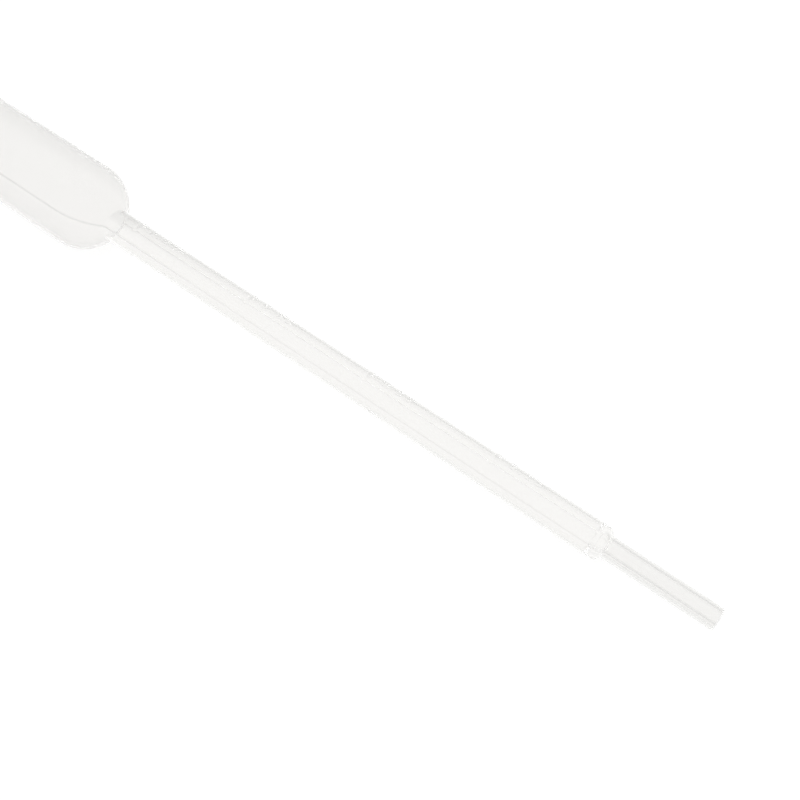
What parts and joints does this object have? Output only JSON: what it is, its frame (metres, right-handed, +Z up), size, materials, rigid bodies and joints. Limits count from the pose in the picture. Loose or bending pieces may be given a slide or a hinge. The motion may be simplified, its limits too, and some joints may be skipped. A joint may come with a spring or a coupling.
{
  "type": "disposable transfer pipette",
  "caption": "One-piece blown plastic dropper pipette: a long squeeze bulb, a slim stem with raised volume graduations and a narrow tip cut off square.",
  "frame": {"origin": "on the table under the middle of the pipette's length, as it lies at rest", "axes": "+X from the bulb to the tip, +Z up off the table, +Y to the side that the graduations are turned to"},
  "size_m": [0.15, 0.0128, 0.0146],
  "materials": {
    "polyethylene": "natural low density polyethylene, uncoloured and translucent, with the soft gloss of a blow mould"
  },
  "bodies": {
    "root": {"pipette": "polyethylene"}
  },
  "joints": []
}
